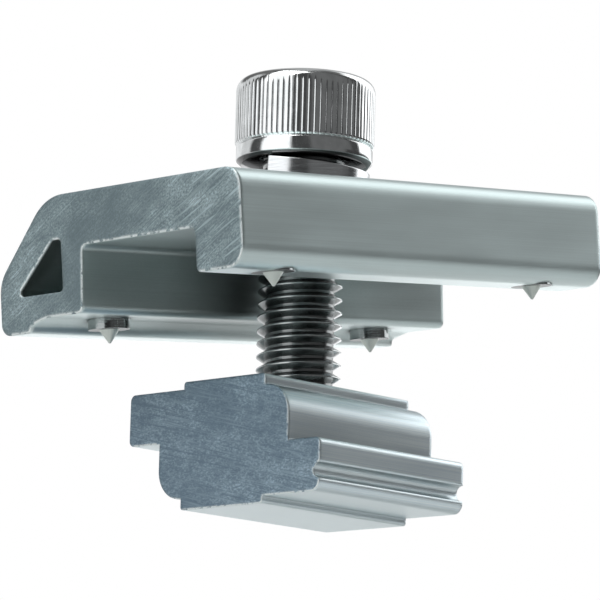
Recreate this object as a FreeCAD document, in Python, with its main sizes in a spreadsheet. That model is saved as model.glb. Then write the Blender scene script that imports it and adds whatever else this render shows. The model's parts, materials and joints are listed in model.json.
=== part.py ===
import FreeCAD, Part
import math
import os
import re
import Sketcher
from FreeCAD import Placement, Rotation, Vector

# Solar rail clamp: an extruded aluminium clamp with four pressed-in grounding pins, a knurled
# socket-head screw with its split spring washer, and the slot nut that hangs on the screw.
# Frame: the origin is the centre of the clamping hole in the clamp's top face, +Z is up, +X goes
# to the leg's outer face and +Y runs along the extrusion.

os.makedirs("parts", exist_ok=True)
doc = FreeCAD.newDocument("SolarRailClamp")
sheet = doc.addObject("Spreadsheet::Sheet", "Sizes")

# Driving sizes in millimetres and degrees
SIZES = [
    # Clamp extrusion
    ("clamp_width", 31.1, "leg face to back face"),
    ("clamp_length", 50.0, "sawn length"),
    ("hole_to_leg_face", 15.8, "clamping hole axis to leg face"),
    ("hole_diameter", 9.0, "clearance hole for the screw"),
    ("plate_thickness", 4.92, "plate over the channel"),
    ("leg_width", 5.75, "leg section"),
    ("leg_height", 8.93, "top face to leg underside"),
    ("channel_width", 14.3, "between leg and foot, at the plate"),
    ("foot_taper", 0.3, "foot's channel face, further back at the pad"),
    ("foot_height", 11.1, "top face to foot pad"),
    ("heel_width", 3.8, "heel measured from the back face"),
    ("heel_drop", 1.2, "heel below the pad"),
    ("cove_rise", 0.55, "height of the cove's slope beside the heel"),
    ("cove_run", 2.2, "length of the cove's slope"),
    ("back_slope_width", 6.48, "slope between plate and back, across"),
    ("back_slope_height", 7.27, "slope between plate and back, down"),
    ("top_edge_radius", 1.8, "top edge over the leg"),
    ("crest_radius", 5.0, "plate to slope"),
    ("shoulder_radius", 3.5, "slope to back face"),
    ("heel_radius", 1.1, "back face to heel"),
    ("heel_edge_radius", 0.3, "heel's inner edge"),
    ("cove_radius", 0.5, "cove beside the heel"),
    ("pad_radius", 3.0, "cove's slope to pad"),
    ("foot_edge_radius", 0.7, "pad to channel"),
    ("channel_radius", 0.55, "channel corners"),
    ("leg_edge_radius", 0.5, "leg's inner edge"),
    ("leg_corner_radius", 2.0, "leg's outer edge"),
    ("chamber_side_wall", 2.75, "wall between chamber and channel"),
    ("chamber_floor", 2.2, "wall between chamber and pad"),
    ("chamber_roof_depth", 4.08, "top face to chamber roof"),
    ("chamber_roof_width", 1.2, "flat of the chamber roof"),
    ("chamber_back_wall", 2.1, "back face to the chamber's outer corner"),
    ("chamber_radius", 0.4, "chamber corners"),
    # Grounding pins
    ("pin_diameter", 3.9, "body of a pin"),
    ("pin_length", 2.5, "body of a pin"),
    ("pin_tip_diameter", 1.9, "cone at its base"),
    ("pin_tip_height", 1.25, "cone"),
    ("pin_tip_flat", 0.2, "blunted point of the cone"),
    ("foot_pin_stand", 1.0, "pin's end below the pad"),
    ("foot_pin_inset", 4.05, "pin axis to the foot's channel face"),
    ("leg_pin_inset", 3.08, "pin axis to the leg face"),
    ("pin_end_inset", 6.95, "pin axis to the sawn end"),
    # Split spring washer
    ("washer_bore", 8.5, "inside"),
    ("washer_diameter", 12.7, "outside"),
    ("washer_thickness", 1.9, "section height"),
    ("washer_rise", 1.6, "raised end above low end"),
    ("washer_gap", 1.2, "cut between the two ends"),
    ("washer_shift_x", -0.12, "its middle beside the screw's axis"),
    ("washer_shift_y", -0.10, "its middle beside the screw's axis"),
    ("washer_lean_x", 5.6, "lean towards +X as it lies"),
    ("washer_lean_y", 4.6, "lean towards +Y as it lies"),
    ("washer_turn", -91.0, "direction of its low end"),
    ("seat_gap", 0.05, "between pieces that rest on each other"),
    # Socket-head screw
    ("thread_diameter", 8.0, "shank"),
    ("shank_length", 25.0, "below the head"),
    ("tip_chamfer", 1.0, "end of the shank"),
    ("head_diameter", 13.25, "over the knurl"),
    ("head_height", 8.35, "head"),
    ("head_edge_radius", 1.2, "head's rounded top edge"),
    ("band_diameter", 12.95, "smooth band under the knurl"),
    ("band_height", 1.9, "smooth band under the knurl"),
    ("head_foot_bevel", 0.45, "bevel round the head's underside"),
    ("socket_width", 6.0, "across the flats of the hexagon"),
    ("socket_depth", 4.4, "hexagon"),
    ("socket_mouth", 7.3, "bevel round the hexagon's mouth"),
    ("screw_lean", 6.6, "lean of the screw towards +Y as it hangs"),
    ("socket_turn", 30.0, "hexagon, turned about the screw"),
    # Slot nut
    ("nut_width", 24.4, "over both wings"),
    ("nut_body_width", 16.4, "body between the wings"),
    ("nut_boss_width", 10.4, "raised boss"),
    ("nut_height", 12.0, "boss to boss"),
    ("nut_length", 19.7, "sawn length"),
    ("nut_shoulder", 4.95, "body's rounded shoulder above mid height"),
    ("nut_shoulder_radius", 2.85, "body's rounded shoulder"),
    ("wing_thickness", 4.9, "wings"),
    ("wing_step", 0.4, "wing's bearing face from mid height"),
    ("wing_radius", 1.0, "lower wing's outer corner"),
    ("wing_edge_radius", 0.6, "upper wing's outer corners"),
    ("nut_edge_radius", 0.3, "edges of the bosses"),
    ("groove_radius", 0.75, "groove in the lower wing's end"),
    ("groove_drop", 3.0, "groove below the wing's bearing face"),
    ("nut_bore_clearance", 0.05, "between shank and threaded bore"),
    ("nut_bore_depth", 9.5, "blind threaded bore"),
    ("nut_mouth_bevel", 0.35, "bevel round the bore's mouth"),
    ("nut_grip", 21.5, "head's underside to the nut's boss"),
]

for row, (alias, value, meaning) in enumerate(SIZES, start=1):
    sheet.set("A%d" % row, alias)
    sheet.set("B%d" % row, repr(value))
    sheet.set("C%d" % row, meaning)
    sheet.setAlias("B%d" % row, alias)
doc.recompute()


def size(alias):
    return float(sheet.get(alias))


def named(text):
    """Expression with the sheet's name before each of its size names."""
    return re.sub(r"[a-z]+(_[a-z]+)+", r"Sizes.\g<0>", text)


def value_of(text):
    """Number that an expression in the size names gives."""
    number = sheet.evalExpression(named(text))
    return float(getattr(number, "Value", number))


def origin_plane(body, role):
    return next(item for item in body.Origin.OriginFeatures if item.Role == role)


def new_body(name):
    body = doc.addObject("PartDesign::Body", name)
    body.Label = name
    return body


def profile(body, name, role, corners, offset=None):
    """Closed sketch whose corners are given as pairs of expressions in the sheet's names."""
    sketch = body.newObject("Sketcher::SketchObject", name)
    sketch.AttachmentSupport = [(origin_plane(body, role), "")]
    sketch.MapMode = "FlatFace"
    if offset:
        sketch.setExpression("AttachmentOffset.Base.z", named(offset))
    points = [Vector(value_of(x), value_of(y), 0) for x, y in corners]
    for index, start in enumerate(points):
        sketch.addGeometry(Part.LineSegment(start, points[(index + 1) % len(points)]))
    count = len(corners)
    for index in range(count):
        sketch.addConstraint(Sketcher.Constraint("Coincident", index, 2, (index + 1) % count, 1))
    for index, (x, y) in enumerate(corners):
        before_x, before_y = corners[index - 1]
        line_before = (index - 1) % count
        if index and x == before_x:
            sketch.addConstraint(Sketcher.Constraint("Vertical", line_before))
        else:
            place = sketch.addConstraint(
                Sketcher.Constraint("DistanceX", index, 1, points[index].x))
            sketch.setExpression("Constraints[%d]" % place, named(x))
        if index and y == before_y:
            sketch.addConstraint(Sketcher.Constraint("Horizontal", line_before))
        else:
            place = sketch.addConstraint(
                Sketcher.Constraint("DistanceY", index, 1, points[index].y))
            sketch.setExpression("Constraints[%d]" % place, named(y))
    return sketch


def circle(body, name, role, diameter, x="0", y="0", offset=None):
    sketch = body.newObject("Sketcher::SketchObject", name)
    sketch.AttachmentSupport = [(origin_plane(body, role), "")]
    sketch.MapMode = "FlatFace"
    if offset:
        sketch.setExpression("AttachmentOffset.Base.z", named(offset))
    centre = Vector(value_of(x), value_of(y), 0)
    sketch.addGeometry(Part.Circle(centre, Vector(0, 0, 1), value_of(diameter) / 2))
    place = sketch.addConstraint(Sketcher.Constraint("Diameter", 0, value_of(diameter)))
    sketch.setExpression("Constraints[%d]" % place, named(diameter))
    for kind, coordinate, text in (("DistanceX", centre.x, x), ("DistanceY", centre.y, y)):
        place = sketch.addConstraint(Sketcher.Constraint(kind, 0, 3, coordinate))
        sketch.setExpression("Constraints[%d]" % place, named(text))
    return sketch


def pad(body, name, sketch, length):
    feature = body.newObject("PartDesign::Pad", name)
    feature.Profile = sketch
    feature.SideType = "Symmetric"
    feature.setExpression("Length", named(length))
    doc.recompute()
    return feature


def cut(body, name, sketch, length=None, both_ways=False, upwards=False):
    feature = body.newObject("PartDesign::Pocket", name)
    feature.Profile = sketch
    if length:
        feature.Type = "Length"
        feature.setExpression("Length", named(length))
    else:
        feature.Type = "ThroughAll"
    if both_ways:
        feature.SideType = "Symmetric"
    feature.Reversed = upwards
    doc.recompute()
    return feature


def turned(body, kind, name, sketch):
    feature = body.newObject("PartDesign::" + kind, name)
    feature.Profile = sketch
    feature.ReferenceAxis = (sketch, ["V_Axis"])
    feature.Angle = 360
    doc.recompute()
    return feature


def rounded(body, name, radius, corners):
    """Fillet on the long edges that run along Y through the given corners of the profile."""
    base = body.Tip
    places = [(value_of(x), value_of(z)) for x, z in corners]
    found = []
    for x, z in places:
        for number, edge in enumerate(base.Shape.Edges, start=1):
            ends = [vertex.Point for vertex in edge.Vertexes]
            if len(ends) == 2 and all(abs(p.x - x) < 0.01 and abs(p.z - z) < 0.01 for p in ends):
                found.append("Edge%d" % number)
    feature = body.newObject("PartDesign::Fillet", name)
    feature.Base = (base, found)
    feature.setExpression("Radius", named(radius))
    doc.recompute()
    return feature


def ring_edges(feature, radius):
    """Names of a feature's circular edges of one radius, the highest last."""
    rings = [(edge.Curve.Center.z, "Edge%d" % number)
             for number, edge in enumerate(feature.Shape.Edges, start=1)
             if isinstance(edge.Curve, Part.Circle) and abs(edge.Curve.Radius - radius) < 0.001]
    return [name for height, name in sorted(rings)]


# Clamp: one extrusion with a short leg, a hollow foot and a channel between them
clamp = new_body("clamp_body")
LEG_FACE = "hole_to_leg_face"
LEG_INNER = "hole_to_leg_face - leg_width"
FOOT_INNER = "hole_to_leg_face - leg_width - channel_width"
BACK_FACE = "hole_to_leg_face - clamp_width"
HEEL_INNER = "hole_to_leg_face - clamp_width + heel_width"
PAD_LEVEL = "-foot_height"
HEEL_LEVEL = "-foot_height - heel_drop"

top_right = (LEG_FACE, "0")
crest = ("hole_to_leg_face - clamp_width + back_slope_width", "0")
shoulder = (BACK_FACE, "-back_slope_height")
heel_outer = (BACK_FACE, HEEL_LEVEL)
heel_inner = (HEEL_INNER, HEEL_LEVEL)
cove_root = (HEEL_INNER, "-foot_height - cove_rise")
cove_end = ("hole_to_leg_face - clamp_width + heel_width + cove_run", PAD_LEVEL)
foot_edge = (FOOT_INNER + " - foot_taper", PAD_LEVEL)
channel_left = (FOOT_INNER, "-plate_thickness")
channel_right = (LEG_INNER, "-plate_thickness")
leg_inner = (LEG_INNER, "-leg_height")
leg_outer = (LEG_FACE, "-leg_height")
section = profile(clamp, "ClampSection", "XZ_Plane", [
    top_right, crest, shoulder, heel_outer, heel_inner, cove_root, cove_end, foot_edge,
    channel_left, channel_right, leg_inner, leg_outer])
pad(clamp, "Extrusion", section, "clamp_length")
rounded(clamp, "TopEdge", "top_edge_radius", [top_right])
rounded(clamp, "Crest", "crest_radius", [crest])
rounded(clamp, "Shoulder", "shoulder_radius", [shoulder])
rounded(clamp, "Heel", "heel_radius", [heel_outer])
rounded(clamp, "HeelEdge", "heel_edge_radius", [heel_inner])
rounded(clamp, "Cove", "cove_radius", [cove_root])
rounded(clamp, "CoveEnd", "pad_radius", [cove_end])
rounded(clamp, "FootEdge", "foot_edge_radius", [foot_edge])
rounded(clamp, "Channel", "channel_radius", [channel_left, channel_right])
rounded(clamp, "LegEdge", "leg_edge_radius", [leg_inner])
rounded(clamp, "LegCorner", "leg_corner_radius", [leg_outer])

# The foot's hollow chamber, a triangle with a flat roof, open at both sawn ends
CHAMBER_SIDE = "hole_to_leg_face - leg_width - channel_width - chamber_side_wall"
CHAMBER_FLOOR = "-foot_height + chamber_floor"
chamber_corners = [
    (CHAMBER_SIDE, CHAMBER_FLOOR),
    (CHAMBER_SIDE, "-chamber_roof_depth"),
    (CHAMBER_SIDE + " - chamber_roof_width", "-chamber_roof_depth"),
    (BACK_FACE + " + chamber_back_wall", CHAMBER_FLOOR),
]
chamber = profile(clamp, "ChamberSection", "XZ_Plane", chamber_corners)
cut(clamp, "Chamber", chamber, both_ways=True)
rounded(clamp, "ChamberCorners", "chamber_radius", chamber_corners)

# The clearance hole that the screw hangs in
screw_hole = circle(clamp, "ScrewHoleCircle", "XY_Plane", "hole_diameter")
cut(clamp, "ScrewHole", screw_hole)

# Blind bores for the grounding pins, drilled from below, then mirrored to the far end
FRONT_PIN_Y = "pin_end_inset - clamp_length/2"
BACK_PIN_Y = "clamp_length/2 - pin_end_inset"
FOOT_PIN_X = "hole_to_leg_face - leg_width - channel_width - foot_pin_inset"
LEG_PIN_X = "hole_to_leg_face - leg_pin_inset"
foot_bore_circle = circle(
    clamp, "FootBoreCircle", "XY_Plane", "pin_diameter",
    x=FOOT_PIN_X, y=FRONT_PIN_Y, offset=HEEL_LEVEL)
foot_bore = cut(clamp, "FootBore", foot_bore_circle,
                length="heel_drop + pin_length - foot_pin_stand", upwards=True)
leg_bore_circle = circle(
    clamp, "LegBoreCircle", "XY_Plane", "pin_diameter",
    x=LEG_PIN_X, y=FRONT_PIN_Y, offset="-leg_height")
leg_bore = cut(clamp, "LegBore", leg_bore_circle, length="pin_length", upwards=True)
far_bores = clamp.newObject("PartDesign::Mirrored", "FarBores")
far_bores.Originals = [foot_bore, leg_bore]
far_bores.MirrorPlane = (origin_plane(clamp, "XZ_Plane"), [""])
clamp.Tip = far_bores
doc.recompute()


# Grounding pins: turned steel, pressed into the bores, each with a cone that bites the rail
def grounding_pin(name, x, y, z):
    pin = new_body(name)
    half = profile(pin, name + "_section", "XZ_Plane", [
        ("0", "pin_length"),
        ("pin_diameter/2", "pin_length"),
        ("pin_diameter/2", "0"),
        ("pin_tip_diameter/2", "0"),
        ("pin_tip_flat/2", "-pin_tip_height"),
        ("0", "-pin_tip_height"),
    ])
    turned(pin, "Revolution", name + "_turning", half)
    pin.setExpression("Placement.Base.x", named(x))
    pin.setExpression("Placement.Base.y", named(y))
    pin.setExpression("Placement.Base.z", named(z))
    return pin


FOOT_PIN_LEVEL = "-foot_height - foot_pin_stand"
pins = [
    grounding_pin("grounding_pin_foot_front", FOOT_PIN_X, FRONT_PIN_Y, FOOT_PIN_LEVEL),
    grounding_pin("grounding_pin_foot_back", FOOT_PIN_X, BACK_PIN_Y, FOOT_PIN_LEVEL),
    grounding_pin("grounding_pin_leg_front", LEG_PIN_X, FRONT_PIN_Y, "-leg_height"),
    grounding_pin("grounding_pin_leg_back", LEG_PIN_X, BACK_PIN_Y, "-leg_height"),
]

# Split spring washer: a rectangular wire wound left-handed through almost one turn, with the
# origin at the centre of its low end
washer = new_body("spring_washer")
wire_section = profile(washer, "WireSection", "XZ_Plane", [
    ("washer_bore/2", "0"),
    ("washer_diameter/2", "0"),
    ("washer_diameter/2", "washer_thickness"),
    ("washer_bore/2", "washer_thickness"),
])
winding = washer.newObject("PartDesign::AdditiveHelix", "Winding")
winding.Profile = wire_section
winding.ReferenceAxis = (wire_section, ["V_Axis"])
winding.Mode = "height-turns-angle"
winding.LeftHanded = True
winding.Angle = 0
winding.setExpression("Height", named("washer_rise"))
winding.setExpression("Turns", named("1 - washer_gap/(pi*(washer_bore + washer_diameter)/2)"))
doc.recompute()

# Screw: knurled head with a smooth band under the knurl, plain shank at the thread's outside
# diameter, with the origin at the centre of the head's underside
screw = new_body("cap_screw")
screw_section = profile(screw, "ScrewSection", "XZ_Plane", [
    ("0", "head_height"),
    ("head_diameter/2", "head_height"),
    ("head_diameter/2", "band_height"),
    ("band_diameter/2", "band_height"),
    ("band_diameter/2", "head_foot_bevel"),
    ("band_diameter/2 - head_foot_bevel", "0"),
    ("thread_diameter/2", "0"),
    ("thread_diameter/2", "-shank_length + tip_chamfer"),
    ("thread_diameter/2 - tip_chamfer", "-shank_length"),
    ("0", "-shank_length"),
])
screw_turning = turned(screw, "Revolution", "ScrewTurning", screw_section)
head_edge = screw.newObject("PartDesign::Fillet", "HeadEdge")
head_edge.Base = (screw_turning, ring_edges(screw_turning, value_of("head_diameter/2"))[-1:])
head_edge.setExpression("Radius", named("head_edge_radius"))
doc.recompute()
hexagon = profile(screw, "Hexagon", "XY_Plane", [
    ("0", "socket_width/sqrt(3)"),
    ("-socket_width/2", "socket_width/sqrt(3)/2"),
    ("-socket_width/2", "-socket_width/sqrt(3)/2"),
    ("0", "-socket_width/sqrt(3)"),
    ("socket_width/2", "-socket_width/sqrt(3)/2"),
    ("socket_width/2", "socket_width/sqrt(3)/2"),
], offset="head_height")
cut(screw, "Socket", hexagon, length="socket_depth")
drill_cone = profile(screw, "SocketFloorSection", "XZ_Plane", [
    ("0", "head_height - socket_depth"),
    ("0", "head_height - socket_depth - socket_width/2*tan(30)"),
    ("socket_width/2", "head_height - socket_depth"),
])
turned(screw, "Groove", "SocketFloor", drill_cone)
mouth_cone = profile(screw, "SocketMouthSection", "XZ_Plane", [
    ("0", "head_height"),
    ("0", "head_height - socket_mouth/2*tan(30)"),
    ("socket_mouth/2", "head_height"),
])
turned(screw, "Groove", "SocketMouth", mouth_cone)

# Slot nut: an extrusion with two wings at different heights, the same after half a turn about
# its length, with the origin at its middle
nut = new_body("slot_nut")


def opposite(corner):
    return tuple("-(%s)" % text for text in corner)


boss_top = ("nut_boss_width/2", "nut_height/2")
boss_foot = ("nut_boss_width/2", "nut_shoulder")
body_shoulder = ("nut_body_width/2", "nut_shoulder")
wing_root = ("nut_body_width/2", "-wing_step")
wing_top = ("nut_width/2", "-wing_step")
wing_bottom = ("nut_width/2", "-wing_step - wing_thickness")
under_boss = ("nut_boss_width/2", "-wing_step - wing_thickness")
nut_section = profile(nut, "NutSection", "XZ_Plane", [
    boss_top, boss_foot, body_shoulder, wing_root, wing_top, wing_bottom, under_boss,
    (under_boss[0], "-nut_height/2"),
    opposite(boss_top), opposite(boss_foot), opposite(body_shoulder), opposite(wing_root),
    opposite(wing_top), opposite(wing_bottom), opposite(under_boss),
    (opposite(under_boss)[0], "nut_height/2"),
])
pad(nut, "NutExtrusion", nut_section, "nut_length")
rounded(nut, "BodyShoulders", "nut_shoulder_radius", [body_shoulder, opposite(body_shoulder)])
rounded(nut, "LowerWingCorner", "wing_radius", [wing_bottom])
rounded(nut, "WingEdges", "wing_edge_radius", [wing_top, opposite(wing_bottom), opposite(wing_top)])
rounded(nut, "BossEdges", "nut_edge_radius", [
    boss_top, (opposite(boss_top)[0], "nut_height/2"),
    opposite(boss_top), (boss_top[0], "-nut_height/2")])
end_groove = circle(nut, "EndGrooveCircle", "XZ_Plane", "2*groove_radius",
                    x="nut_width/2", y="-wing_step - groove_drop")
cut(nut, "EndGroove", end_groove, both_ways=True)
bore = circle(nut, "BoreCircle", "XY_Plane", "thread_diameter + 2*nut_bore_clearance",
              offset="nut_height/2")
bored = cut(nut, "Bore", bore, length="nut_bore_depth")
bore_rings = ring_edges(bored, value_of("thread_diameter/2 + nut_bore_clearance"))
mouth_bevel = nut.newObject("PartDesign::Chamfer", "BoreMouth")
mouth_bevel.Base = (bored, bore_rings[-1:])
mouth_bevel.setExpression("Size", named("nut_mouth_bevel"))
doc.recompute()


# How the loose screw hangs: it leans along the extrusion about the middle of the plate, the
# washer lies between the head and the plate, and the nut hangs on the shank in line with the clamp
def leaning(degrees_x, degrees_y):
    """Turn that leans an upright piece towards +X and +Y."""
    direction = Vector(math.tan(math.radians(degrees_x)), math.tan(math.radians(degrees_y)), 1)
    return Rotation(Vector(0, 0, 1), direction)


screw_lean = leaning(0, size("screw_lean"))
axis = screw_lean.multVec(Vector(0, 0, 1))
hole_middle = Vector(0, 0, -size("plate_thickness") / 2)


def on_axis(distance):
    return hole_middle + axis * distance


def room_over_plane(shape, point, normal):
    """Distance from a shape down to the plane through a point."""
    reach = size("washer_diameter") * 2
    disc = Part.Face(Part.Wire(Part.makeCircle(reach, point, normal)))
    return shape.distToShape(disc)[0]


# The washer is lowered along the screw's axis until its lowest corner lies on the plate
washer_rotation = leaning(size("washer_lean_x"), size("washer_lean_y")) * Rotation(
    Vector(0, 0, 1), size("washer_turn"))
washer_middle = Vector(0, 0, (size("washer_rise") + size("washer_thickness")) / 2)
washer_shift = Vector(size("washer_shift_x"), size("washer_shift_y"), 0)
start = size("plate_thickness") + size("washer_diameter")
washer_offset = washer_shift - washer_rotation.multVec(washer_middle)
washer.Placement = Placement(on_axis(start) + washer_offset, washer_rotation)
washer_room = room_over_plane(washer.Shape, Vector(0, 0, 0), Vector(0, 0, 1))
washer_distance = start - (washer_room - size("seat_gap")) / axis.z
washer.Placement = Placement(on_axis(washer_distance) + washer_offset, washer_rotation)

# The head's underside lies on the washer's raised end
head_start = washer_distance + size("washer_diameter")
head_room = room_over_plane(washer.Shape, on_axis(head_start), axis)
head_distance = head_start - head_room + size("seat_gap")
screw_rotation = screw_lean * Rotation(Vector(0, 0, 1), size("socket_turn"))
screw.Placement = Placement(on_axis(head_distance), screw_rotation)

nut_distance = head_distance - size("nut_grip") - size("nut_height") / 2
nut.Placement = Placement(on_axis(nut_distance), screw_lean)
doc.recompute()

# Checks on every object, then one STEP file for each piece
for item in doc.Objects:
    if "Invalid" in item.State or "Error" in item.State:
        raise RuntimeError("%s did not rebuild" % item.Name)

for piece in [clamp] + pins + [washer, screw, nut]:
    if piece.Shape.isNull() or not piece.Shape.isValid() or len(piece.Shape.Solids) != 1:
        raise RuntimeError("%s is not one valid solid" % piece.Label)
    piece.Shape.exportStep("parts/%s.step" % piece.Label)
    print("%s: %.1f mm3" % (piece.Label, piece.Shape.Volume))
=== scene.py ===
import json
import math

import bpy
from mathutils import Matrix, Vector


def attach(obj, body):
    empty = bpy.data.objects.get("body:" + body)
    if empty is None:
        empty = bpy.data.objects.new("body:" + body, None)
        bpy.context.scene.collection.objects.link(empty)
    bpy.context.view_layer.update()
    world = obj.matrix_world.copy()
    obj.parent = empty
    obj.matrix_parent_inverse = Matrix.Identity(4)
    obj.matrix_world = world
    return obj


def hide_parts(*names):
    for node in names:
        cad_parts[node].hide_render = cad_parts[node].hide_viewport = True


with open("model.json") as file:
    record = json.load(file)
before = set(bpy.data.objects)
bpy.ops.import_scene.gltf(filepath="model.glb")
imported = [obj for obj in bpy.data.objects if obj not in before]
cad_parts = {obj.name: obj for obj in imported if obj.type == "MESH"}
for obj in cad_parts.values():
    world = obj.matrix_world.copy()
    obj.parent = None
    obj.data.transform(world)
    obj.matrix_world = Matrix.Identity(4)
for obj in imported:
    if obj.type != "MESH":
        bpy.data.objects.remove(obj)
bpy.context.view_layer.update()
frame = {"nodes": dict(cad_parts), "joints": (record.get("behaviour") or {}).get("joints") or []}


# Clamp body. One length of extruded aluminium, mill finish: faint die lines run along it, and
# both ends are sawn, so they are speckled, scratched by the blade and left with burrs round the
# edge, whose glint is painted on as a bright colour.

MM = 0.001
# Painted light from below: the pale tint of faces that point down
PAINTED_UNDERSIDE_LIGHT = (0.9, 0.99, 0.98, 1)
# Painted glint: the near-white colour of the burrs on the sawn edges
BURR_PAINTED_GLINT = (0.93, 1.0, 0.99, 1)
SHADOW = (0, 0, 0, 1)
SAW_CAME_OUT = (0.8, 0.0, -0.6)
HOLLOW_REACH = 11
SOFT_EDGE = 0.8
STROKES_GROW_OVER = 4
TOUCHED_FROM = (-11, -5)
TOUCHED_TO = (7, 1)


def put(tree, kind, sockets=None, **settings):
    """Node with its settings, and its sockets joined to other sockets or given values."""
    node = tree.nodes.new(kind)
    for name, value in settings.items():
        setattr(node, name, value)
    for name, value in (sockets or {}).items():
        if isinstance(value, bpy.types.NodeSocket):
            tree.links.new(value, node.inputs[name])
        else:
            node.inputs[name].default_value = value
    return node


def metal(name):
    """New metal finish, with its node tree and its shader."""
    finish = bpy.data.materials.new(name)
    finish.use_nodes = True
    shader = finish.node_tree.nodes["Principled BSDF"]
    shader.inputs["Metallic"].default_value = 1.0
    return finish, finish.node_tree, shader


def millimetres(tree):
    """Place on the piece in millimetres."""
    place = put(tree, "ShaderNodeTexCoord")
    return put(tree, "ShaderNodeVectorMath", {0: place.outputs["Object"], "Scale": 1 / MM},
               operation="SCALE").outputs["Vector"]


def direction_faced(tree, axis):
    """How far the surface faces along one axis of the piece, from -1 to 1."""
    faced = put(tree, "ShaderNodeTexCoord").outputs["Normal"]
    return put(tree, "ShaderNodeSeparateXYZ", {0: faced}).outputs[axis]


def grain(tree, place, lengths, turn=(0, 0, 0), detail=2.0):
    """Noise whose spots are so long in millimetres along each turned axis."""
    stretched = put(tree, "ShaderNodeMapping", {
        "Vector": place, "Rotation": [math.radians(angle) for angle in turn], "Scale": lengths},
        vector_type="TEXTURE")
    return put(tree, "ShaderNodeTexNoise", {
        "Vector": stretched.outputs["Vector"], "Scale": 1.0, "Detail": detail}).outputs["Fac"]


def spread(tree, value, low, high, to_low=0.0, to_high=1.0):
    """Stretch of a value from one range to another, cut off at both ends."""
    return put(tree, "ShaderNodeMapRange", {
        "Value": value, "From Min": low, "From Max": high, "To Min": to_low, "To Max": to_high},
        clamp=True).outputs["Result"]


def blend(tree, share, first, second):
    """Mix of two values, or numbers, by a share."""
    return put(tree, "ShaderNodeMix", {0: share, 2: first, 3: second}).outputs[0]


def tint(tree, share, first, second):
    """Mix of two colours by a share."""
    return put(tree, "ShaderNodeMix", {0: share, 6: first, 7: second},
               data_type="RGBA").outputs[2]


def together(tree, operation, *values):
    """Several values brought into one, two at a time."""
    result = values[0]
    for value in values[1:]:
        result = put(tree, "ShaderNodeMath", {0: result, 1: value},
                     operation=operation).outputs[0]
    return result


def times(tree, *values):
    """Product of several values."""
    return together(tree, "MULTIPLY", *values)


def highest(tree, *values):
    """Largest of several values."""
    return together(tree, "MAXIMUM", *values)


def facing(tree, axis, low=0.75, high=0.92):
    """Share of the surface that faces along one axis of the piece, either way."""
    size = put(tree, "ShaderNodeMath", {0: direction_faced(tree, axis)}, operation="ABSOLUTE")
    return spread(tree, size.outputs[0], low, high)


def rounded_normal(tree, radius):
    """Normal rounded over sharp edges by a radius in metres."""
    return put(tree, "ShaderNodeBevel", {"Radius": radius}, samples=8).outputs["Normal"]


def edge_share(tree, rounded):
    """Share of the surface that lies on an edge, where the rounded normal leaves the real one."""
    flat = put(tree, "ShaderNodeNewGeometry")
    turn = put(tree, "ShaderNodeVectorMath", {0: rounded, 1: flat.outputs["True Normal"]},
               operation="DOT_PRODUCT")
    return spread(tree, turn.outputs["Value"], 0.998, 0.96)


def hollows(tree, darkest):
    """Light that is left in channels, and the share of the surface in a closed chamber."""
    open_air = put(tree, "ShaderNodeAmbientOcclusion", {"Distance": HOLLOW_REACH * MM}, samples=6)
    left = spread(tree, open_air.outputs["AO"], 0.3, 0.95, darkest, 1.0)
    closed = spread(tree, open_air.outputs["AO"], 0.3, 0.06)
    return blend(tree, closed, left, 1.0), closed


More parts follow.
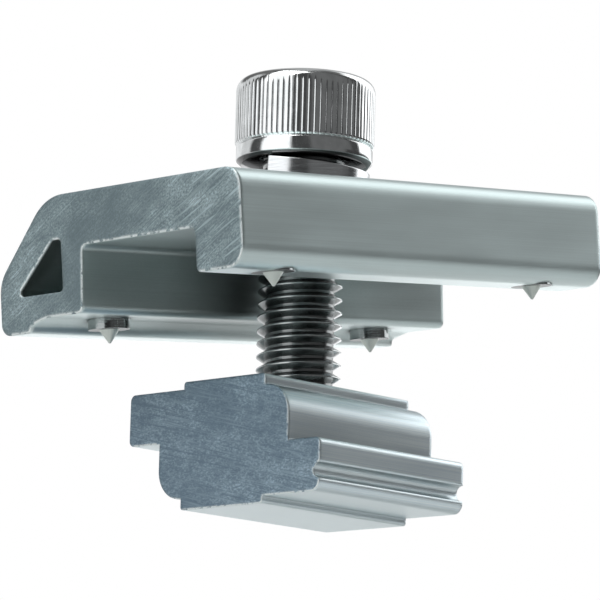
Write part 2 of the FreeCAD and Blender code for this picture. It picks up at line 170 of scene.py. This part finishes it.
def sawn_aluminium(name, side_dark, side_light, end_dark, end_light, saw_turn, speckled, scored,
                   stroked, stroked_from, dulled, side_gloss, end_gloss, streaks, burr, shade,
                   soft_below, lean):
    """Mill-finish extrusion along Y with sawn ends, on a piece that leans by an angle.

    speckled, scored and stroked say how strongly the saw's marks show, the strokes from so many
    millimetres across, and dulled how far touching has darkened the middle. streaks is the share
    of the die lines on the sides, burr the rounding of the edges in millimetres, shade the light
    that is left in hollows, and soft_below the level under which the edges are softer.
    """
    finish, tree, shader = metal(name)
    place = put(tree, "ShaderNodeVectorRotate", {"Vector": millimetres(tree), "Angle": lean},
                rotation_type="X_AXIS").outputs["Vector"]
    parts = put(tree, "ShaderNodeSeparateXYZ", {0: place})
    across = parts.outputs["X"]
    level = parts.outputs["Z"]
    ends = facing(tree, "Y")

    # Sides: die lines along the piece over long soft clouds
    die_lines = grain(tree, place, (0.1, 40, 0.1), detail=3.0)
    clouds = grain(tree, place, (2.5, 12, 2.5), detail=3.0)
    side_share = blend(tree, streaks, spread(tree, clouds, 0.3, 0.7),
                       spread(tree, die_lines, 0.3, 0.7))
    side = tint(tree, side_share, side_dark, side_light)

    # Ends: speckled patches under the blade's lines and scratches, each at a slight angle of its
    # own, with a few wide strokes beside one edge; furrows and the touched middle are darker
    speckle = grain(tree, place, (0.24, 1, 0.14), turn=(0, saw_turn - 8, 0), detail=3.0)
    blade_lines = grain(tree, place, (5.0, 1, 0.16), turn=(0, saw_turn, 0), detail=2.0)
    long_scratches = grain(tree, place, (4.5, 1, 0.11), turn=(0, saw_turn - 3, 0), detail=0.0)
    cross_scratches = grain(tree, place, (1.4, 1, 0.12), turn=(0, saw_turn * 1.4, 0), detail=0.0)
    wide_strokes = grain(tree, place, (5.5, 1, 0.34), turn=(0, saw_turn + 5, 0), detail=1.0)
    patches = grain(tree, place, (2.4, 1, 1.5), turn=(0, saw_turn, 0), detail=4.0)
    furrows = grain(tree, place, (7.0, 1, 0.13), turn=(0, saw_turn, 0), detail=1.0)
    broad = grain(tree, place, (9.0, 1, 6.0), detail=1.0)
    patch = spread(tree, patches, 0.36, 0.66)
    specks = times(tree, spread(tree, speckle, 0.4, 0.68), blend(tree, patch, 0.5, 1.0))
    ground = together(tree, "ADD", times(tree, patch, 0.2), times(tree, specks, speckled))
    lines = times(tree, spread(tree, blade_lines, 0.48, 0.68), 0.45)
    scratches = times(tree, spread(tree, long_scratches, 0.66, 0.72),
                      spread(tree, patches, 0.47, 0.55), scored)
    crossed = times(tree, spread(tree, cross_scratches, 0.68, 0.76), 0.7, scored)
    strokes = times(tree, spread(tree, wide_strokes, 0.58, 0.64), stroked,
                    spread(tree, across, stroked_from, stroked_from + STROKES_GROW_OVER))
    touched = times(tree, spread(tree, across, *TOUCHED_FROM), spread(tree, across, *TOUCHED_TO),
                    dulled)
    end_share = times(tree, highest(tree, ground, lines, scratches, crossed, strokes),
                      spread(tree, furrows, 0.32, 0.42, 0.3, 1.0),
                      spread(tree, broad, 0.35, 0.65, 0.7, 1.15),
                      blend(tree, touched, 1.0, 0.3))
    end = tint(tree, end_share, end_dark, end_light)

    # Edges: rounded a little, more so below one level, with a glint painted on the burrs where the
    # saw came out
    soft = times(tree, spread(tree, level, soft_below + 0.1, soft_below - 0.1),
                 spread(tree, ends, 0.5, 0.0))
    normal = rounded_normal(tree, blend(tree, soft, burr * MM, SOFT_EDGE * MM))
    leaving = put(tree, "ShaderNodeVectorMath", {0: normal, 1: SAW_CAME_OUT},
                  operation="DOT_PRODUCT").outputs["Value"]
    edge_break = spread(tree, grain(tree, place, (0.6, 0.6, 0.6)), 0.36, 0.5)
    # Painted glint: edges that face the way the saw came out get the bright burr colour
    painted_burr_glint = times(tree, edge_share(tree, normal), edge_break, facing(tree, "Y", 0.2, 0.6),
                   spread(tree, leaving, 0.05, 0.13))

    # Colour: faces that point down are painted paler with light from below, the heel most of all,
    # and hollows are darkened with painted shade
    heel = spread(tree, level, soft_below - 0.1, soft_below - 0.8)
    low_faces = spread(tree, direction_faced(tree, "Z"), -0.6, -0.9)
    underside_painted_light = tint(tree, blend(tree, heel, times(tree, low_faces, 0.5), 1.0), side, PAINTED_UNDERSIDE_LIGHT)
    # Painted shade: hollows are darkened towards black by how closed in they are
    lit, closed = hollows(tree, shade)
    metal_colour = tint(tree, highest(tree, lit, heel), SHADOW, tint(tree, ends, underside_painted_light, end))
    tree.links.new(tint(tree, painted_burr_glint, metal_colour, BURR_PAINTED_GLINT), shader.inputs["Base Color"])
    skin = blend(tree, closed, 1.0, 0.75)
    tree.links.new(blend(tree, painted_burr_glint, skin, 0.3), shader.inputs["Metallic"])

    # Gloss and relief: the lighter a mark on an end is, the more it shines
    side_rough = spread(tree, side_share, 0.0, 1.0, side_gloss[0], side_gloss[1])
    end_rough = spread(tree, end_share, 0.0, 1.0, end_gloss[1], end_gloss[0])
    rough = blend(tree, painted_burr_glint, blend(tree, ends, side_rough, end_rough), 0.35)
    tree.links.new(rough, shader.inputs["Roughness"])
    height = blend(tree, ends, times(tree, die_lines, 0.12), blend(tree, 0.5, speckle, blade_lines))
    bump = put(tree, "ShaderNodeBump", {
        "Height": height, "Strength": 1.0, "Distance": 0.03 * MM, "Normal": normal})
    tree.links.new(bump.outputs["Normal"], shader.inputs["Normal"])
    return finish


clamp_finish = sawn_aluminium(
    "clamp_mill_aluminium",
    side_dark=(0.63, 0.73, 0.725, 1), side_light=(0.74, 0.855, 0.85, 1),
    end_dark=(0.2, 0.26, 0.28, 1), end_light=(0.64, 0.78, 0.81, 1),
    saw_turn=-29, speckled=0.8, scored=0.9, stroked=0.8, stroked_from=6.0, dulled=0.8,
    side_gloss=(0.33, 0.42), end_gloss=(0.42, 0.58), streaks=0.45, burr=0.55,
    shade=0.28, soft_below=-11.4, lean=0)
frame["nodes"]["clamp_body"].data.materials[0] = clamp_finish


# Grounding pins. Four pins of stainless steel, turned and pressed into bores from below: the
# sides shine from the turning tool and, with the flat ends, are darkened with painted shade; the
# cones that bite the rail are paler and matt.

PINS = ("grounding_pin_foot_front", "grounding_pin_foot_back",
        "grounding_pin_leg_front", "grounding_pin_leg_back")
# Painted shade: the pins' sides and flat ends are darker than their cones
PIN_SIDE_PAINTED_SHADE = (0.34, 0.36, 0.36, 1)
PIN_FLAT_PAINTED_SHADE = (0.24, 0.25, 0.25, 1)
PIN_CONE = (0.66, 0.71, 0.67, 1)


def turned_steel(name):
    """Turned pin: rings round its side, painted shade on its side and flat end, and a pale matt
    cone.
    """
    finish, tree, shader = metal(name)
    tilt = put(tree, "ShaderNodeMath", {0: direction_faced(tree, "Z")},
               operation="ABSOLUTE").outputs[0]
    cone = times(tree, spread(tree, tilt, 0.3, 0.45), spread(tree, tilt, 0.97, 0.9))
    flat = spread(tree, tilt, 0.9, 0.97)
    colour = tint(tree, cone, tint(tree, flat, PIN_SIDE_PAINTED_SHADE, PIN_FLAT_PAINTED_SHADE), PIN_CONE)
    tree.links.new(colour, shader.inputs["Base Color"])
    rings = grain(tree, millimetres(tree), (9, 9, 0.1), detail=1.0)
    side_rough = spread(tree, rings, 0.3, 0.7, 0.07, 0.14)
    rough = blend(tree, cone, blend(tree, flat, side_rough, 0.4), 0.5)
    tree.links.new(rough, shader.inputs["Roughness"])
    bump = put(tree, "ShaderNodeBump", {
        "Height": rings, "Strength": 0.25, "Distance": 0.02 * MM,
        "Normal": rounded_normal(tree, 0.08 * MM)})
    tree.links.new(bump.outputs["Normal"], shader.inputs["Normal"])
    return finish


pin_finish = turned_steel("pin_turned_steel")
for pin in PINS:
    frame["nodes"][pin].data.materials[0] = pin_finish


# Spring washer. Flat-sided spring-steel wire wound through almost a turn and cut, so its two
# ends stand apart in height; bright, with fine drawing lines round it.

WASHER_DARK = (0.7, 0.72, 0.73, 1)
WASHER_LIGHT = (0.86, 0.88, 0.89, 1)


def drawn_steel(name):
    """Bright drawn wire: fine level lines, with smears that dull it here and there."""
    finish, tree, shader = metal(name)
    place = millimetres(tree)
    lines = grain(tree, place, (2.5, 2.5, 0.12), detail=3.0)
    smears = grain(tree, place, (1.6, 1.6, 1.6), detail=2.0)
    colour = tint(tree, spread(tree, lines, 0.3, 0.7), WASHER_DARK, WASHER_LIGHT)
    tree.links.new(colour, shader.inputs["Base Color"])
    rough = spread(tree, blend(tree, 0.5, lines, smears), 0.35, 0.65, 0.1, 0.24)
    tree.links.new(rough, shader.inputs["Roughness"])
    bump = put(tree, "ShaderNodeBump", {
        "Height": blend(tree, 0.7, lines, smears), "Strength": 0.3, "Distance": 0.02 * MM,
        "Normal": rounded_normal(tree, 0.12 * MM)})
    tree.links.new(bump.outputs["Normal"], shader.inputs["Normal"])
    return finish


frame["nodes"]["spring_washer"].data.materials[0] = drawn_steel("washer_spring_steel")


# Cap screw. A cold-headed stainless screw: straight knurl rolled on the head over a smooth band,
# a hexagon socket pressed into the top, and an M8 thread rolled right up to the head.

# Head, in millimetres from its underside
HEAD_RADIUS = 6.625
HEAD_HEIGHT = 8.35
HEAD_EDGE = 1.2
BAND_RADIUS = 6.475
BAND_HEIGHT = 1.9
BAND_BEVEL = 0.45
KNURL_TOP = HEAD_HEIGHT - HEAD_EDGE
RIBS = 72
RIB_DEPTH = 0.07
RIB_LAND = 0.68
RIB_POINTS = 8
HEAD_COLUMNS = RIBS * RIB_POINTS
RIM_STEPS = 9
SOCKET_HALF = 3.0
SOCKET_DEPTH = 4.4
SOCKET_MOUTH = 3.65
SOCKET_SLOPE = math.tan(math.radians(30))
DRILL_RADIUS = 2.85
DRILL_POINT = 0.3

# Thread: one crest lies at a known level and angle, and it runs out into a neck at the head
THREAD_RADIUS = 4.0
ROOT_RADIUS = 3.25
ROOT_ROUNDING = 0.05
CREST_HALF_TURN = 0.045
NECK_RADIUS = 3.9
NECK_FROM = 1.1
NECK_RUN_OUT = 0.9
PITCH = 1.25
SHANK_LENGTH = 25.0
TIP_CHAMFER = 1.0
THREAD_COLUMNS = 72
THREAD_POINTS = (0.0, 0.05, 0.1, 0.2, 0.3, 0.4, 0.5, 0.6, 0.7, 0.8, 0.9, 0.95)
CREST_LEVEL = -13.4
CREST_ANGLE = math.radians(-166.8)

# The frame says where the loose screw hangs: the centre of the head's underside, and its axis,
# which leans towards +Y
SCREW_JOINT = next(joint for joint in frame["joints"] if joint["name"] == "screw_turn")
SCREW_SEAT = Vector(SCREW_JOINT["pos_m"]) / MM
SCREW_LEAN = math.atan2(SCREW_JOINT["axis"][1], SCREW_JOINT["axis"][2])
SOCKET_TURN = math.radians(30)
SHARP_ANGLE = math.radians(38)

HEAD_DARK = (0.78, 0.8, 0.8, 1)
HEAD_LIGHT = (0.92, 0.94, 0.94, 1)
# Painted shade in the knurl's grooves
RIB_GROOVE_PAINTED_SHADE = (0.64, 0.65, 0.66, 1)
# Painted shadow under the head
HEAD_UNDERSIDE_PAINTED_SHADOW = (0.09, 0.09, 0.09, 1)
# Painted shade: the thread is darker than the head, most of all at its roots
THREAD_ROOT_PAINTED_SHADE = (0.24, 0.25, 0.25, 1)
THREAD_CREST_PAINTED_SHADE = (0.52, 0.54, 0.54, 1)


def rib_cut(column, share):
    """Depth of the knurl under the head's outside at one column, by the share of full depth."""
    rib, point = divmod(column, RIB_POINTS)
    across = abs(point / RIB_POINTS * 2 - 1)
    uneven = 1 + 0.12 * math.sin(rib * 2.3) + 0.08 * math.sin(rib * 5.1)
    return RIB_DEPTH * uneven * share * max(0.0, (across - RIB_LAND) / (1 - RIB_LAND))


def socket_reach(angle):
    """Distance from the axis to the hexagon's side."""
    part = (angle - math.radians(30)) % math.radians(60) - math.radians(30)
    return SOCKET_HALF / math.cos(part)


def head_rings():
    """Rings of the head from its underside, up its side, over the top and down the socket."""
    rings = []

    def plain(radius, height):
        rings.append([(radius, height)] * HEAD_COLUMNS)

    def ribbed(radius, height, share):
        rings.append([(radius - rib_cut(column, share), height)
                      for column in range(HEAD_COLUMNS)])

    # Underside, bevel, and the smooth band with its rounded upper edge
    plain(THREAD_RADIUS + 0.25, 0.0)
    plain(BAND_RADIUS - BAND_BEVEL - 0.04, 0.0)
    plain(BAND_RADIUS - BAND_BEVEL + 0.02, 0.02)
    plain(BAND_RADIUS - 0.03, BAND_BEVEL - 0.04)
    plain(BAND_RADIUS, BAND_BEVEL + 0.03)
    plain(BAND_RADIUS, BAND_HEIGHT - 0.3)
    plain(BAND_RADIUS - 0.03, BAND_HEIGHT - 0.2)
    plain(BAND_RADIUS - 0.12, BAND_HEIGHT - 0.08)

    # Knurl: it starts in a groove over the band and gets shallower towards the rim
    ribbed(HEAD_RADIUS - 0.1, BAND_HEIGHT, 0.55)
    ribbed(HEAD_RADIUS - 0.03, BAND_HEIGHT + 0.12, 0.85)
    for height in (BAND_HEIGHT + 0.3, 3.4, 4.6, 5.8):
        ribbed(HEAD_RADIUS, height, 1.0)
    ribbed(HEAD_RADIUS, KNURL_TOP - 0.5, 0.9)
    ribbed(HEAD_RADIUS, KNURL_TOP - 0.2, 0.7)
    ribbed(HEAD_RADIUS, KNURL_TOP, 0.5)

    # Rounded rim, where the ribs end
    for step in range(1, RIM_STEPS + 1):
        turn = math.radians(90 / RIM_STEPS * step)
        ribbed(HEAD_RADIUS - HEAD_EDGE * (1 - math.cos(turn)),
               KNURL_TOP + HEAD_EDGE * math.sin(turn), max(0.0, 0.35 - step * 0.15))

    # Bevelled mouth, hexagon and the drill's cone at its floor
    plain(SOCKET_MOUTH + 0.06, HEAD_HEIGHT)
    plain(SOCKET_MOUTH - 0.03, HEAD_HEIGHT - 0.03)
    reach = [socket_reach(2 * math.pi * column / HEAD_COLUMNS) for column in range(HEAD_COLUMNS)]
    rings.append([(side, HEAD_HEIGHT - (SOCKET_MOUTH - side) * SOCKET_SLOPE - 0.02)
                  for side in reach])
    floor = HEAD_HEIGHT - SOCKET_DEPTH
    rings.append([(side, floor + 0.1) for side in reach])
    rings.append([(side - 0.08, floor) for side in reach])
    plain(DRILL_RADIUS, floor)
    plain(DRILL_POINT, floor - (DRILL_RADIUS - DRILL_POINT) * SOCKET_SLOPE)
    return rings


def thread_reach(level, angle):
    """Distance from the axis to the rolled thread's 60-degree flank, its crest or its root."""
    turns = (level - CREST_LEVEL) / PITCH - (angle - CREST_ANGLE) / (2 * math.pi)
    away = abs(turns - round(turns))
    flank = THREAD_RADIUS - max(0.0, away - CREST_HALF_TURN) * PITCH * math.sqrt(3)
    root = ROOT_RADIUS + ROOT_ROUNDING * (1 - math.cos(math.pi * 2 * (0.5 - away)))
    reach = max(flank, root)
    near_head = min(1.0, max(0.0, (level + NECK_FROM) / NECK_RUN_OUT))
    reach += (NECK_RADIUS - reach) * near_head
    return min(reach, THREAD_RADIUS - TIP_CHAMFER + level + SHANK_LENGTH)


def screw_mesh():
    """Thread, neck and head in one closed skin, leaning in its place on the clamp."""
    points = []
    faces = []

    def add_point(radius, angle, level):
        points.append((radius * math.cos(angle) * MM, radius * math.sin(angle) * MM, level * MM))
        return len(points) - 1

    # Thread: rows climb with the helix, so each ends one pitch higher than it began
    thread_angles = [2 * math.pi * column / THREAD_COLUMNS for column in range(THREAD_COLUMNS)]
    tip = [add_point(THREAD_RADIUS - TIP_CHAMFER, angle, -SHANK_LENGTH) for angle in thread_angles]
    neck = [add_point(NECK_RADIUS, angle, 0.0) for angle in thread_angles]
    first_level = CREST_LEVEL - CREST_ANGLE / (2 * math.pi) * PITCH
    first_turn = math.floor((-SHANK_LENGTH - first_level) / PITCH) - 2
    last_turn = math.ceil(-first_level / PITCH) + 2
    rows = []
    for turn in range(first_turn, last_turn + 1):
        for part in THREAD_POINTS:
            row = []
            for column, angle in enumerate(thread_angles):
                level = first_level + (turn + part + angle / (2 * math.pi)) * PITCH
                if level <= -SHANK_LENGTH:
                    row.append(tip[column])
                elif level >= 0:
                    row.append(neck[column])
                else:
                    row.append(add_point(thread_reach(level, angle), angle, level))
            rows.append(row)
    climb = len(THREAD_POINTS)
    for low in range(len(rows) - 1 - climb):
        for column in range(THREAD_COLUMNS):
            if column + 1 < THREAD_COLUMNS:
                corners = (rows[low][column], rows[low][column + 1],
                           rows[low + 1][column + 1], rows[low + 1][column])
            else:
                corners = (rows[low][column], rows[low + climb][0],
                           rows[low + climb + 1][0], rows[low + 1][column])
            # Rows past the tip or the neck share its points, so corners that repeat are dropped
            kept = list(dict.fromkeys(corners))
            if len(kept) > 2:
                faces.append(kept)
    faces.append(list(reversed(tip)))

    # Head: its underside is stitched to the neck, eight columns of the head to one of the thread
    head = [[add_point(radius, 2 * math.pi * column / HEAD_COLUMNS, level)
             for column, (radius, level) in enumerate(ring)] for ring in head_rings()]
    for column in range(THREAD_COLUMNS):
        after = (column + 1) % THREAD_COLUMNS
        outer = [head[0][(column * RIB_POINTS + step) % HEAD_COLUMNS]
                 for step in range(RIB_POINTS + 1)]
        faces.append([neck[column], neck[after]] + list(reversed(outer)))
    for low, high in zip(head, head[1:]):
        for column in range(HEAD_COLUMNS):
            after = (column + 1) % HEAD_COLUMNS
            faces.append((low[column], low[after], high[after], high[column]))
    faces.append(head[-1])

    mesh = bpy.data.meshes.new("knurled_cap_screw")
    mesh.from_pydata(points, [], faces)
    mesh.validate()
    mesh.transform(Matrix.Translation(SCREW_SEAT * MM) @ Matrix.Rotation(-SCREW_LEAN, 4, "X")
                   @ Matrix.Rotation(SOCKET_TURN, 4, "Z"))
    mesh.shade_smooth()
    mesh.set_sharp_from_angle(angle=SHARP_ANGLE)
    return mesh


def rolled_steel(name):
    """Bright head with painted shadow on its underside, and a thread darkened with painted shade,
    most of all at its roots.
    """
    finish, tree, shader = metal(name)
    place = put(tree, "ShaderNodeMapping", {
        "Vector": millimetres(tree), "Location": SCREW_SEAT, "Rotation": (-SCREW_LEAN, 0, 0)},
        vector_type="TEXTURE").outputs["Vector"]
    parts = put(tree, "ShaderNodeSeparateXYZ", {0: place})
    level = parts.outputs["Z"]
    flat = put(tree, "ShaderNodeCombineXYZ", {0: parts.outputs["X"], 1: parts.outputs["Y"]})
    reach = put(tree, "ShaderNodeVectorMath", {0: flat.outputs[0]},
                operation="LENGTH").outputs["Value"]
    streaks = grain(tree, place, (0.12, 0.12, 2.0), detail=2.0)
    clouds = grain(tree, place, (1.1, 1.1, 1.1), detail=3.0)

    # Colour: bright head with painted shade between the ribs and painted shadow below, and the
    # thread darkened with painted shade by its depth
    bright = tint(tree, spread(tree, clouds, 0.35, 0.65), HEAD_DARK, HEAD_LIGHT)
    # Painted shade between the ribs
    painted_shade_between_ribs = times(tree, spread(tree, reach, HEAD_RADIUS - 0.015, HEAD_RADIUS - 0.065),
                         spread(tree, level, BAND_HEIGHT + 0.05, BAND_HEIGHT + 0.15),
                         spread(tree, level, KNURL_TOP + 0.25, KNURL_TOP - 0.15))
    # Painted shadow on the head's underside and bevel
    underside = spread(tree, level, BAND_BEVEL - 0.01, BAND_BEVEL - 0.09)
    head = tint(tree, underside, tint(tree, painted_shade_between_ribs, bright, RIB_GROOVE_PAINTED_SHADE), HEAD_UNDERSIDE_PAINTED_SHADOW)
    # Painted shade in the thread, deepening towards its roots
    thread = tint(tree, spread(tree, reach, 3.5, THREAD_RADIUS), THREAD_ROOT_PAINTED_SHADE, THREAD_CREST_PAINTED_SHADE)
    threaded = spread(tree, level, -0.02, -0.1)
    tree.links.new(tint(tree, threaded, head, thread), shader.inputs["Base Color"])

    rough = spread(tree, blend(tree, 0.5, streaks, clouds), 0.35, 0.65, 0.06, 0.16)
    tree.links.new(blend(tree, threaded, rough, 0.2), shader.inputs["Roughness"])
    bump = put(tree, "ShaderNodeBump", {
        "Height": blend(tree, 0.6, streaks, clouds), "Strength": 0.3, "Distance": 0.02 * MM,
        "Normal": rounded_normal(tree, blend(tree, threaded, 0.05 * MM, 0.0))})
    tree.links.new(bump.outputs["Normal"], shader.inputs["Normal"])
    return finish


cap_screw = bpy.data.objects.new("knurled_cap_screw", screw_mesh())
bpy.context.scene.collection.objects.link(cap_screw)
cap_screw.data.materials.append(rolled_steel("screw_stainless"))
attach(cap_screw, "screw")
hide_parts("cap_screw")


# Slot nut. Sawn from an aluminium extrusion with a wing on each side, drilled and tapped. Its
# sides are shinier than the clamp's and streaked, and the blade's lines fall to the right.

nut_finish = sawn_aluminium(
    "nut_mill_aluminium",
    side_dark=(0.7, 0.82, 0.89, 1), side_light=(0.92, 1.0, 1.0, 1),
    end_dark=(0.19, 0.265, 0.33, 1), end_light=(0.54, 0.69, 0.79, 1),
    saw_turn=13, speckled=0.75, scored=0.4, stroked=0.45, stroked_from=4.0, dulled=0.0,
    side_gloss=(0.27, 0.41), end_gloss=(0.42, 0.58), streaks=0.75, burr=0.42,
    shade=0.55, soft_below=-60, lean=SCREW_LEAN)
frame["nodes"]["slot_nut"].data.materials[0] = nut_finish


# Studio. The clamp hangs over a pale paper floor in a tent of light and dark walls, which give
# the steel its stripes; grey flags shade its back, and one soft lamp hangs above.

FLOOR_LEVEL = -0.062
FLOOR_REACH = 0.15
floor_mesh = bpy.data.meshes.new("studio_floor")
floor_mesh.from_pydata(
    [(-FLOOR_REACH, -FLOOR_REACH, FLOOR_LEVEL), (FLOOR_REACH, -FLOOR_REACH, FLOOR_LEVEL),
     (FLOOR_REACH, FLOOR_REACH, FLOOR_LEVEL), (-FLOOR_REACH, FLOOR_REACH, FLOOR_LEVEL)],
    [], [(0, 1, 2, 3)])
floor = bpy.data.objects.new("studio_floor", floor_mesh)
bpy.context.scene.collection.objects.link(floor)
floor_finish = bpy.data.materials.new("floor_paper")
floor_finish.use_nodes = True
floor_paper = floor_finish.node_tree.nodes["Principled BSDF"]
floor_paper.inputs["Base Color"].default_value = (0.83, 0.84, 0.84, 1)
floor_paper.inputs["Roughness"].default_value = 0.8
floor_mesh.materials.append(floor_finish)

# The tent's walls, each with the bearing in degrees from +X at which it starts and its light
WALLS = (
    (-180.0, 0.65), (-150.0, 0.07), (-124.0, 1.2), (-70.0, 0.06), (-36.0, 0.13), (39.0, 0.06),
    (60.0, 1.75), (140.0, 0.85))
WALL_EDGE = 3
COOL = (1.0, 1.01, 1.02)
FLAG = (0.14, 0.14, 0.14, 1)
FAR_WALL = (0.45, 0.455, 0.46, 1)
SKIRTING = (0.05, 0.05, 0.05, 1)
BACKDROP = (1.0, 1.0, 1.0, 1)
BACKDROP_FOOT = (0.56, 0.575, 0.57, 1)
BEHIND = (-0.68, 0.73, 0.0)
tent = bpy.data.worlds.new("studio_tent")
bpy.context.scene.world = tent
tent.use_nodes = True
air = tent.node_tree
direction = put(air, "ShaderNodeTexCoord").outputs["Generated"]
compass = put(air, "ShaderNodeSeparateXYZ", {0: direction})
height = compass.outputs["Z"]
bearing = put(air, "ShaderNodeMath", {
    0: compass.outputs["Y"], 1: compass.outputs["X"]}, operation="ARCTAN2").outputs[0]
around = spread(air, bearing, -math.pi, math.pi)
walls = put(air, "ShaderNodeValToRGB", {"Fac": around})
ramp = walls.color_ramp
ramp.interpolation = "LINEAR"
stops = []
for number, (start, light) in enumerate(WALLS):
    end = WALLS[number + 1][0] if number + 1 < len(WALLS) else 180.0
    stops.append(((start + 180 + WALL_EDGE) / 360, light))
    stops.append(((end + 180 - WALL_EDGE) / 360, light))
while len(ramp.elements) < len(stops):
    ramp.elements.new(0.5)
for element, (place_on_ramp, light) in zip(ramp.elements, stops):
    element.position = min(1.0, max(0.0, place_on_ramp))
    element.color = [light * part for part in COOL] + [1]

# Flags high up behind the clamp, a dimmer wall on its far side and a dark skirting beyond the
# leg, by bearing in radians and by height, which is the sine of the angle above the horizon
behind = put(air, "ShaderNodeVectorMath", {0: direction, 1: BEHIND},
             operation="DOT_PRODUCT").outputs["Value"]
high_flag = times(air, spread(air, height, 0.72, 0.82), spread(air, behind, 0.0, 0.12))
back_flag = times(air, spread(air, height, 0.3, 0.4), spread(air, bearing, 1.8, 1.95))
far_wall = times(air, spread(air, height, -0.02, 0.02), spread(air, bearing, 1.55, 2.05),
                 spread(air, bearing, 2.55, 2.45))
skirting = times(air, spread(air, height, 0.0, -0.06), spread(air, bearing, 0.4, 0.5),
                 spread(air, bearing, 1.75, 1.6))
flagged = tint(air, highest(air, high_flag, back_flag), walls.outputs["Color"], FLAG)
walled = tint(air, skirting, tint(air, far_wall, flagged, FAR_WALL), SKIRTING)

# The camera itself sees a white backdrop that greys towards its foot, in place of the walls
backdrop = tint(air, spread(air, height, -0.02, -0.13), BACKDROP, BACKDROP_FOOT)
seen = put(air, "ShaderNodeLightPath")
shown = tint(air, seen.outputs["Is Camera Ray"], walled, backdrop)
backing = air.nodes["Background"]
air.links.new(shown, backing.inputs["Color"])
backing.inputs["Strength"].default_value = 1.0

lamp = bpy.data.objects.new("overhead_softbox", bpy.data.lights.new("overhead_softbox", "AREA"))
lamp.data.shape = "RECTANGLE"
lamp.data.size = 0.3
lamp.data.size_y = 0.3
lamp.data.energy = 0.8
lamp.location = (-0.03, -0.16, 0.4)
lamp.rotation_euler = (Vector((0, 0, 0)) - lamp.location).to_track_quat("-Z", "Y").to_euler()
bpy.context.scene.collection.objects.link(lamp)

# Camera: a long lens a little below the clamp, rolled by about three degrees as in the picture
LOOK_AT = Vector((-0.5164, -0.2866, -9.5203)) * MM
DISTANCE = 377.947 * MM
RIGHT = Vector((0.732261, 0.679141, -0.050602))
UP = Vector((0.098668, -0.032280, 0.994597))
BACK = RIGHT.cross(UP)
camera = bpy.data.objects.new("camera", bpy.data.cameras.new("camera"))
camera.data.sensor_width = 36
camera.data.lens = 240.10
camera.data.clip_start = 0.01
camera.data.clip_end = 20
camera_turn = Matrix((RIGHT, UP, BACK)).transposed()
camera.matrix_world = Matrix.Translation(LOOK_AT + BACK * DISTANCE) @ camera_turn.to_4x4()
bpy.context.scene.collection.objects.link(camera)
bpy.context.scene.camera = camera
bpy.context.scene.view_settings.view_transform = "Standard"
